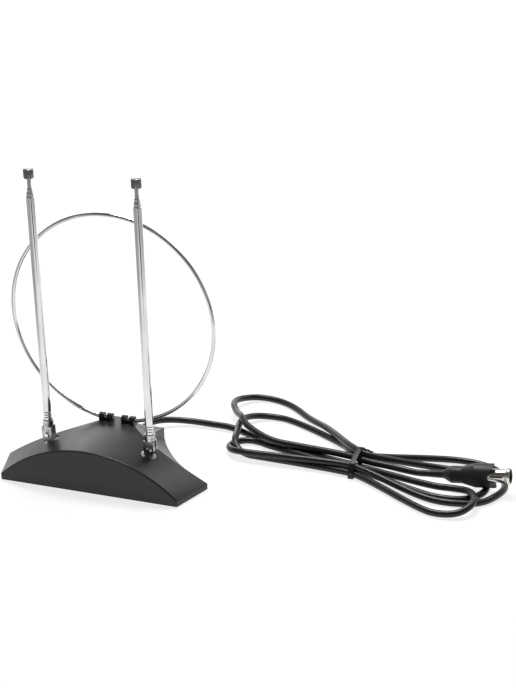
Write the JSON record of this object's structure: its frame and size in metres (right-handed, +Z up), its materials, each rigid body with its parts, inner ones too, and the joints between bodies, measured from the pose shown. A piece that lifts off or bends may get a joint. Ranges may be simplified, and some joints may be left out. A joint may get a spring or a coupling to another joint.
{
  "type": "indoor television aerial",
  "caption": "Set-top television aerial: arched black base, telescopic chrome rods on swivel pivots, tipping wire loop, coax cable with plug.",
  "frame": {"origin": "on the table under the middle of the base's footprint", "axes": "+X to the right seen from the arched front, +Y to the back where the cable leaves, +Z up"},
  "size_m": [0.3019, 0.156, 0.1904],
  "materials": {
    "black_plastic": "fine satin moulding",
    "zinc_steel": "zinc plated",
    "pad_rubber": "soft rubber",
    "board": "solder-resist laminate",
    "ferrite": "sintered ferrite",
    "contact_brass": "spring brass",
    "cable_black": "soft PVC",
    "tie_black": "plastic-coated wire",
    "plug_black": "moulded grip",
    "nickel": "nickel plated",
    "insulator": "moulded",
    "chrome": "polished plating"
  },
  "bodies": {
    "base": {"housing": "black_plastic", "bottom_cover": "black_plastic", "cover_screws": "zinc_steel", "foot_pad_front_left": "pad_rubber", "foot_pad_front_right": "pad_rubber", "foot_pad_rear_left": "pad_rubber", "foot_pad_rear_right": "pad_rubber", "ballast_plate": "zinc_steel", "matching_board": "board", "balun_core": "ferrite", "loop_contact_left": "contact_brass", "loop_contact_right": "contact_brass", "strain_relief": "cable_black", "cable_lead": "cable_black", "cable_hank": "cable_black", "hank_tie": "tie_black", "plug_body": "plug_black", "plug_sleeve": "nickel", "plug_insulator": "insulator", "plug_pin": "nickel"},
    "loop": {"loop_wire": "chrome"},
    "swivel_left": {"swivel_foot_left": "chrome", "swivel_washer_left": "zinc_steel", "swivel_screw_left": "zinc_steel"},
    "rod_left": {"clevis_left": "chrome", "pivot_rivet_left": "chrome", "rod_section_1_left": "chrome"},
    "rod_left_2": {"rod_section_2_left": "chrome"},
    "rod_left_3": {"rod_section_3_left": "chrome"},
    "rod_left_4": {"rod_section_4_left": "chrome", "tip_cap_left": "chrome"},
    "swivel_right": {"swivel_foot_right": "chrome", "swivel_washer_right": "zinc_steel", "swivel_screw_right": "zinc_steel"},
    "rod_right": {"clevis_right": "chrome", "pivot_rivet_right": "chrome", "rod_section_1_right": "chrome"},
    "rod_right_2": {"rod_section_2_right": "chrome"},
    "rod_right_3": {"rod_section_3_right": "chrome"},
    "rod_right_4": {"rod_section_4_right": "chrome", "tip_cap_right": "chrome"}
  },
  "joints": [
    {"name": "loop_tilt", "type": "hinge", "parent": "base", "child": "loop", "pos_m": [0, 0.008, 0.029], "axis": [-1, 0, 0], "range_deg": [-6, 70]},
    {"name": "swivel_left", "type": "hinge", "parent": "base", "child": "swivel_left", "pos_m": [-0.0333, -0.018, 0.0256], "axis": [-0.3173, 0, 0.9483], "range_deg": [-90, 25]},
    {"name": "tilt_left", "type": "hinge", "parent": "swivel_left", "child": "rod_left", "pos_m": [-0.0333, -0.018, 0.0256], "axis": [0, -1, 0], "range_deg": [-10, 90]},
    {"name": "extend_2_left", "type": "slide", "parent": "rod_left", "child": "rod_left_2", "axis": [0, 0, 1], "range_m": [0, 0.12]},
    {"name": "extend_3_left", "type": "slide", "parent": "rod_left_2", "child": "rod_left_3", "axis": [0, 0, 1], "range_m": [0, 0.12]},
    {"name": "extend_4_left", "type": "slide", "parent": "rod_left_3", "child": "rod_left_4", "axis": [0, 0, 1], "range_m": [0, 0.12]},
    {"name": "swivel_right", "type": "hinge", "parent": "base", "child": "swivel_right", "pos_m": [0.0333, -0.018, 0.0256], "axis": [-0.3173, 0, -0.9483], "range_deg": [-90, 25]},
    {"name": "tilt_right", "type": "hinge", "parent": "swivel_right", "child": "rod_right", "pos_m": [0.0333, -0.018, 0.0256], "axis": [0, 1, 0], "range_deg": [-10, 90]},
    {"name": "extend_2_right", "type": "slide", "parent": "rod_right", "child": "rod_right_2", "axis": [0, 0, 1], "range_m": [0, 0.12]},
    {"name": "extend_3_right", "type": "slide", "parent": "rod_right_2", "child": "rod_right_3", "axis": [0, 0, 1], "range_m": [0, 0.12]},
    {"name": "extend_4_right", "type": "slide", "parent": "rod_right_3", "child": "rod_right_4", "axis": [0, 0, 1], "range_m": [0, 0.12]}
  ]
}
